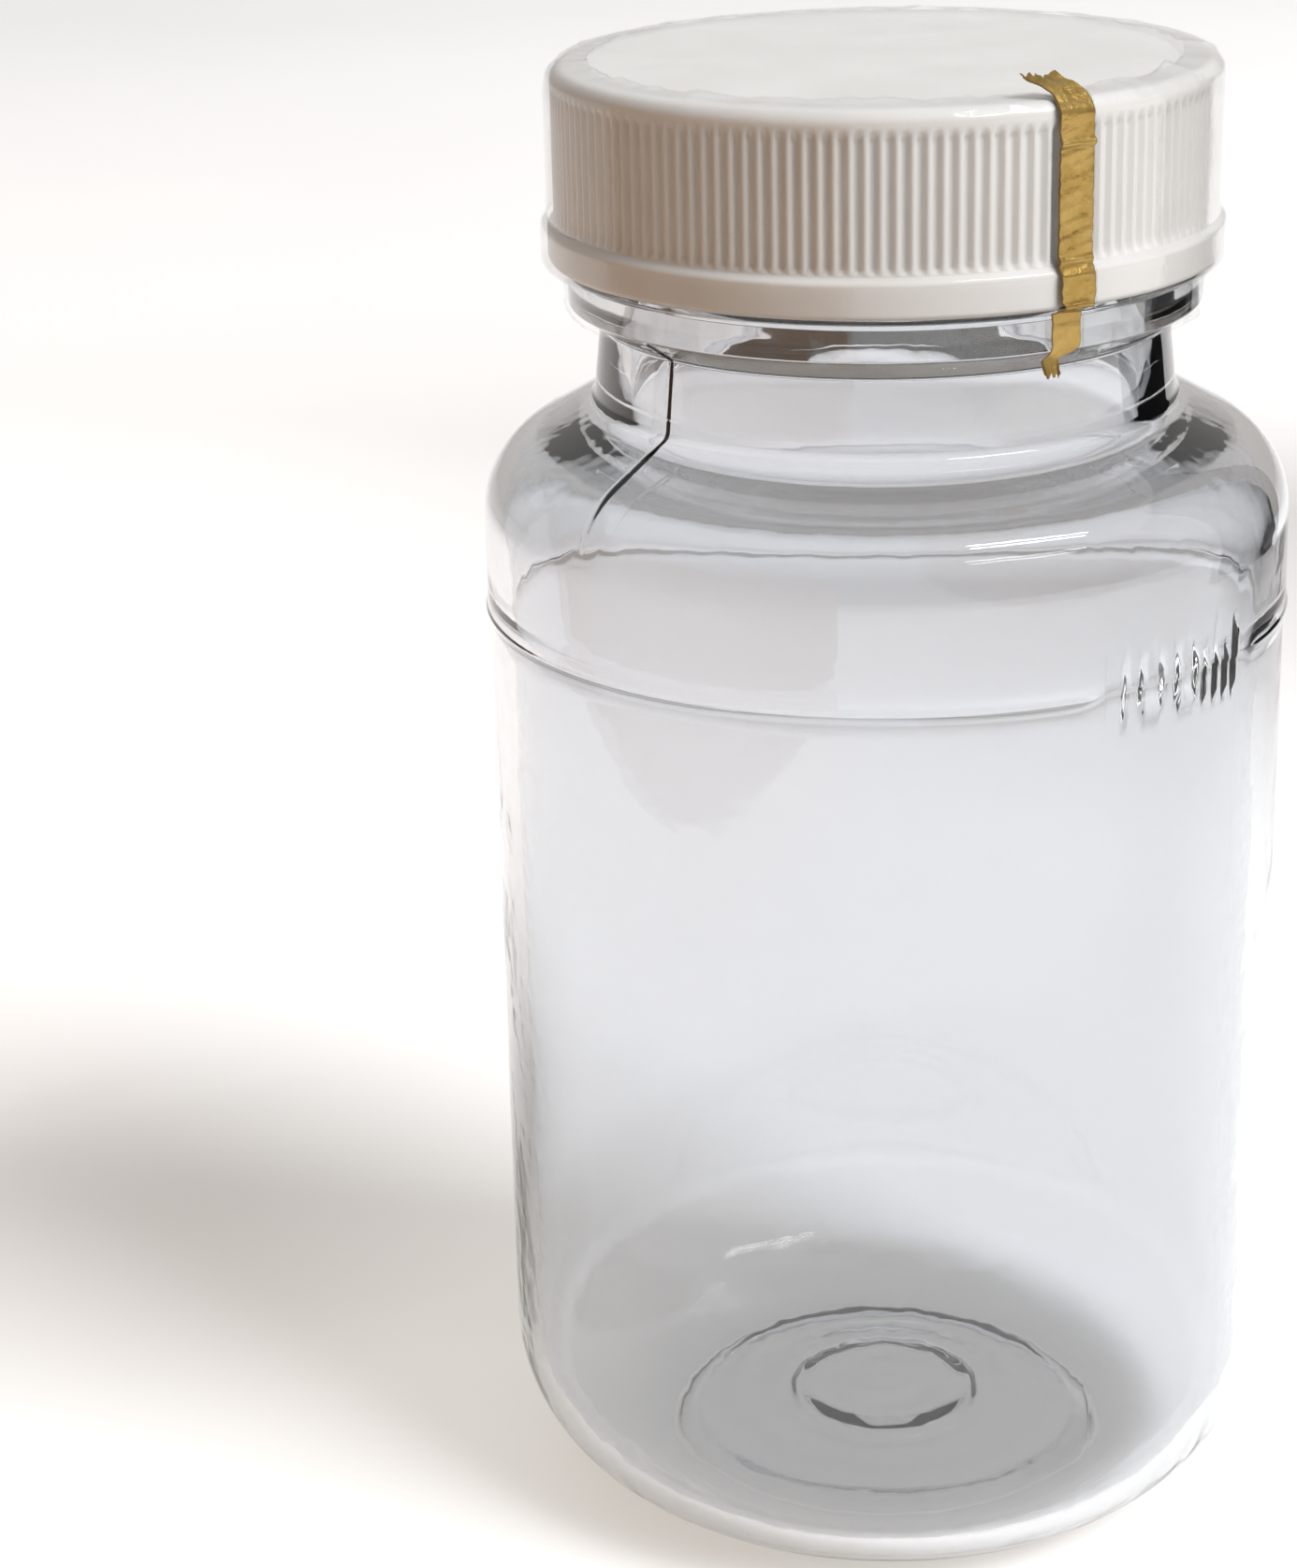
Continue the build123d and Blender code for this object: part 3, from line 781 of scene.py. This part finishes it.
def make_lamp(name, start, end, width, power, colour, shows):
    """A flat lamp between two points, facing the object. shows says whether it is seen in shiny surfaces."""
    data = bpy.data.lights.new(name, "AREA")
    data.shape = "RECTANGLE"
    along = end - start
    data.size = along.length
    data.size_y = width
    data.energy = power
    data.color = colour
    lamp = bpy.data.objects.new(name, data)
    lamp.visible_glossy = shows
    lamp.visible_transmission = shows
    bpy.context.scene.collection.objects.link(lamp)
    middle = (start + end) / 2
    back = (middle - Vector((0, 0, 0.05))).normalized()
    x_axis = along.normalized()
    y_axis = back.cross(x_axis).normalized()
    z_axis = x_axis.cross(y_axis)
    turn = Matrix((x_axis, y_axis, z_axis)).transposed().to_4x4()
    lamp.matrix_world = Matrix.Translation(middle) @ turn


def around(right_turn, elevation, distance):
    """A place seen from the object this far to the right of the camera and this far above level."""
    turn, rise = math.radians(right_turn), math.radians(elevation)
    flat = camera_front * math.cos(turn) + camera_right * math.sin(turn)
    return (flat * math.cos(rise) + Vector((0, 0, math.sin(rise)))) * distance


def make_card(name, middle, width, height, colour):
    """An upright card beside the view, facing the object."""
    back = Vector((middle.x, middle.y, 0)).normalized()
    side = Vector((0, 0, 1)).cross(back)
    points = []
    for a in (-0.5, 0.5):
        for h in (0, 1):
            points.append(middle + side * a * width + Vector((0, 0, h * height)))
    material, nodes, links, output = new_material(name)
    shade = set_inputs(nodes.new("ShaderNodeBsdfPrincipled"), Base_Color=(*colour, 1), Roughness=0.8)
    links.new(shade.outputs[0], output.inputs["Surface"])
    card = mesh_piece(name, points, [(0, 2, 3, 1)], material)


def make_lights():
    tube_height = 1.3
    tube_width = 0.03
    tube_power = 2.2
    near = camera_front * 0.455 * tube_height + camera_right * 0.343 * tube_height
    far = camera_front * 0.16 * tube_height + camera_right * 0.825 * tube_height
    sideways = (far - near).cross(Vector((0, 0, 1))).normalized() * 0.05
    for name, offset in (("tube_front", sideways), ("tube_back", -sideways)):
        shift = Vector((0, 0, tube_height)) + offset
        make_lamp(name, near + shift, far + shift, tube_width, tube_power, (1.0, 0.99, 0.97), True)
    window = around(60, 46, 1.8)
    side = Vector((0, 0, 1)).cross(window).normalized() * 0.45
    make_lamp("window", window - side, window + side, 0.7, 45.0, (1.0, 1.0, 1.0), False)
    wall_light = around(-80, 16, 0.8)
    side = Vector((0, 0, 1)).cross(wall_light).normalized() * 0.15
    make_lamp("warm_wall", wall_light - side, wall_light + side, 0.2, 1.9, (1.0, 0.46, 0.16), False)
    left = camera_front * 0.09 - camera_right * 0.13
    make_card("warm_card", left, 0.3, 0.16, (0.62, 0.4, 0.24))
    right = camera_right * 0.2 - camera_front * 0.12
    make_card("dark_card", right, 0.16, 0.3, (0.03, 0.035, 0.045))


def make_world():
    world = bpy.data.worlds.new("room")
    bpy.context.scene.world = world
    world.use_nodes = True
    nodes, links = world.node_tree.nodes, world.node_tree.links
    background = nodes["Background"]
    place = nodes.new("ShaderNodeTexCoord")
    split = nodes.new("ShaderNodeSeparateXYZ")
    ramp = nodes.new("ShaderNodeValToRGB")
    ramp.color_ramp.elements[0].position = 0.0
    ramp.color_ramp.elements[0].color = (0.3, 0.28, 0.26, 1)
    ramp.color_ramp.elements[1].position = 0.8
    ramp.color_ramp.elements[1].color = (0.38, 0.385, 0.39, 1)
    links.new(place.outputs["Generated"], split.inputs[0])
    links.new(split.outputs["Z"], ramp.inputs["Fac"])
    links.new(ramp.outputs["Color"], background.inputs["Color"])
    rays = nodes.new("ShaderNodeLightPath")
    strength = nodes.new("ShaderNodeMapRange")
    set_inputs(strength, To_Min=1.9, To_Max=0.95)
    links.new(rays.outputs["Is Diffuse Ray"], strength.inputs["Value"])
    links.new(strength.outputs["Result"], background.inputs["Strength"])


make_floor(pale_floor(mottle), 3.0)
make_camera()
make_lights()
make_world()

scene = bpy.context.scene
scene.view_settings.view_transform = "Standard"
scene.cycles.caustics_refractive = False
scene.cycles.caustics_reflective = False
scene.cycles.max_bounces = 24
scene.cycles.transmission_bounces = 20
scene.cycles.transparent_max_bounces = 32
